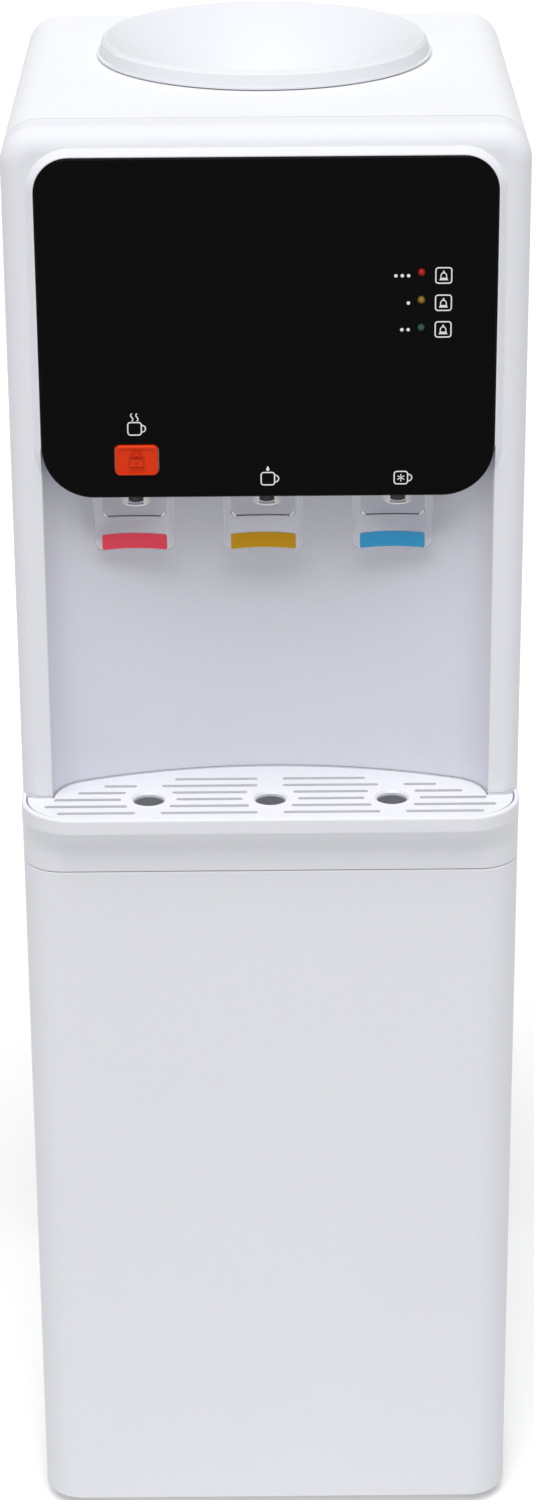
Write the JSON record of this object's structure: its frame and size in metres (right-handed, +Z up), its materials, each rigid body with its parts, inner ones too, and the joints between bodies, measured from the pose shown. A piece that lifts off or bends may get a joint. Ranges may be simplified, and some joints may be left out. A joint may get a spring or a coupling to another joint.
{
  "type": "water cooler",
  "caption": "Floor-standing bottled water cooler with a collar for an inverted bottle, a black control panel, a recessed bay with push-lever taps and a slotted drip tray.",
  "frame": {"origin": "on the floor, under the middle of the outline", "axes": "+Z up, front faces -Y, +X to the right of a viewer in front"},
  "size_m": [0.3, 0.344, 0.919],
  "materials": {
    "white_shell": "moulded white plastic, satin gloss",
    "liner_white": "moulded white plastic, satin",
    "white_sheet": "powder-coated steel sheet",
    "galvanised_sheet": "galvanised steel sheet",
    "black_gloss": "black moulding, high gloss",
    "clear_lever": "clear polystyrene",
    "bar_hot": "pink-red moulding",
    "bar_warm": "ochre yellow moulding",
    "bar_cold": "sky-blue moulding",
    "button_orange": "orange moulding",
    "tap_white": "white moulding",
    "nozzle_dark": "dark grey silicone rubber",
    "valve_rubber": "white silicone rubber",
    "spring_steel": "drawn wire",
    "stainless": "stainless sheet",
    "foam": "expanded foam",
    "copper": "drawn copper tube",
    "black_steel": "black enamel",
    "mica_band": "sheathed heater band",
    "silicone": "food-grade silicone",
    "board_green": "circuit board laminate",
    "lens_red": "tinted lens",
    "lens_amber": "tinted lens",
    "lens_green": "tinted lens",
    "black_plastic": "black moulding",
    "rocker_red": "red moulding",
    "rocker_green": "green moulding",
    "black_rubber": "moulded rubber",
    "grey_plastic": "grey moulding",
    "zinc": "zinc plated"
  },
  "bodies": {
    "cabinet": {"back_panel": "galvanised_sheet", "back_panel_screws": "zinc", "base_pan": "galvanised_sheet", "bay_liner": "liner_white", "circuit_board": "board_green", "cold_tank": "stainless", "cold_tank_jacket": "foam", "cold_tank_lid": "tap_white", "cold_tank_shelf": "galvanised_sheet", "compressor": "black_steel", "compressor_bolts": "zinc", "compressor_mounts": "black_rubber", "condenser": "black_steel", "control_panel": "black_gloss", "cord_gland": "black_plastic", "drain_outlet": "grey_plastic", "evaporator_coil": "copper", "feet": "black_rubber", "front_fascia": "white_shell", "heater_band": "mica_band", "hot_tank": "stainless", "hot_tank_jacket": "foam", "hot_tank_shelf": "galvanised_sheet", "lamp_cold": "lens_amber", "lamp_hot": "lens_red", "lamp_warm": "lens_green", "left_side_panel": "white_sheet", "lever_pins": "stainless", "lower_front_panel": "white_shell", "neck_gasket": "silicone", "refrigerant_pipes": "copper", "right_side_panel": "white_sheet", "spout_nozzles": "nozzle_dark", "switch_housings": "black_plastic", "tap_body_cold": "tap_white", "tap_body_hot": "tap_white", "tap_body_warm": "tap_white", "tap_bonnets": "tap_white", "tap_nuts": "tap_white", "top_cover": "white_shell", "tray_housing": "white_shell", "valve_springs": "spring_steel", "water_hoses": "silicone"},
    "drip_tray_body": {"drip_tray": "liner_white"},
    "drip_grille_body": {"drip_grille": "liner_white"},
    "bottle_seat_body": {"bottle_seat": "white_shell", "bottle_probe": "tap_white"},
    "hot_lever": {"lever_hot": "clear_lever", "lever_bar_hot": "bar_hot"},
    "warm_lever": {"lever_warm": "clear_lever", "lever_bar_warm": "bar_warm"},
    "cold_lever": {"lever_cold": "clear_lever", "lever_bar_cold": "bar_cold"},
    "hot_stem": {"valve_stem_hot": "valve_rubber"},
    "warm_stem": {"valve_stem_warm": "valve_rubber"},
    "cold_stem": {"valve_stem_cold": "valve_rubber"},
    "lock_button_body": {"lock_button": "button_orange"},
    "hot_rocker": {"rocker_hot": "rocker_red"},
    "cold_rocker": {"rocker_cold": "rocker_green"},
    "drain_cap_body": {"drain_cap": "black_plastic"}
  },
  "joints": [
    {"name": "bottle_seat_lift", "type": "slide", "parent": "cabinet", "child": "bottle_seat_body", "axis": [0, 0, 1], "range_m": [0, 0.12]},
    {"name": "drip_tray_lift", "type": "slide", "parent": "cabinet", "child": "drip_tray_body", "axis": [0, 0, 1], "range_m": [0, 0.06]},
    {"name": "drip_grille_lift", "type": "slide", "parent": "drip_tray_body", "child": "drip_grille_body", "axis": [0, 0, 1], "range_m": [0, 0.04]},
    {"name": "hot_lever_swing", "type": "hinge", "parent": "cabinet", "child": "hot_lever", "pos_m": [-0.0775, -0.128, 0.7008], "axis": [1, 0, 0], "range_deg": [0, 9], "stiffness_Nm_per_rad": 0.8, "springref_deg": -6.88},
    {"name": "hot_stem_lift", "type": "slide", "parent": "cabinet", "child": "hot_stem", "axis": [0, 0, 1], "range_m": [0, 0.002]},
    {"name": "warm_lever_swing", "type": "hinge", "parent": "cabinet", "child": "warm_lever", "pos_m": [-0.0008, -0.128, 0.7008], "axis": [1, 0, 0], "range_deg": [0, 9], "stiffness_Nm_per_rad": 0.8, "springref_deg": -6.88},
    {"name": "warm_stem_lift", "type": "slide", "parent": "cabinet", "child": "warm_stem", "axis": [0, 0, 1], "range_m": [0, 0.002]},
    {"name": "cold_lever_swing", "type": "hinge", "parent": "cabinet", "child": "cold_lever", "pos_m": [0.0759, -0.128, 0.7008], "axis": [1, 0, 0], "range_deg": [0, 9], "stiffness_Nm_per_rad": 0.8, "springref_deg": -6.88},
    {"name": "cold_stem_lift", "type": "slide", "parent": "cabinet", "child": "cold_stem", "axis": [0, 0, 1], "range_m": [0, 0.002]},
    {"name": "lock_button_push", "type": "slide", "parent": "cabinet", "child": "lock_button_body", "axis": [0, 1, 0], "range_m": [0, 0.003], "stiffness_N_per_m": 300, "springref_m": -0.002},
    {"name": "hot_rocker_tilt", "type": "hinge", "parent": "cabinet", "child": "hot_rocker", "pos_m": [-0.028, 0.164, 0.85], "axis": [-1, 0, 0], "range_deg": [0, 18]},
    {"name": "cold_rocker_tilt", "type": "hinge", "parent": "cabinet", "child": "cold_rocker", "pos_m": [0.028, 0.164, 0.85], "axis": [-1, 0, 0], "range_deg": [0, 18]},
    {"name": "drain_cap_off", "type": "slide", "parent": "cabinet", "child": "drain_cap_body", "axis": [0, 1, 0], "range_m": [0, 0.02]}
  ],
  "couplings": [
    {"joint": "hot_stem_lift", "follows": "hot_lever_swing", "m_per_rad": 0.012},
    {"joint": "warm_stem_lift", "follows": "warm_lever_swing", "m_per_rad": 0.012},
    {"joint": "cold_stem_lift", "follows": "cold_lever_swing", "m_per_rad": 0.012}
  ]
}
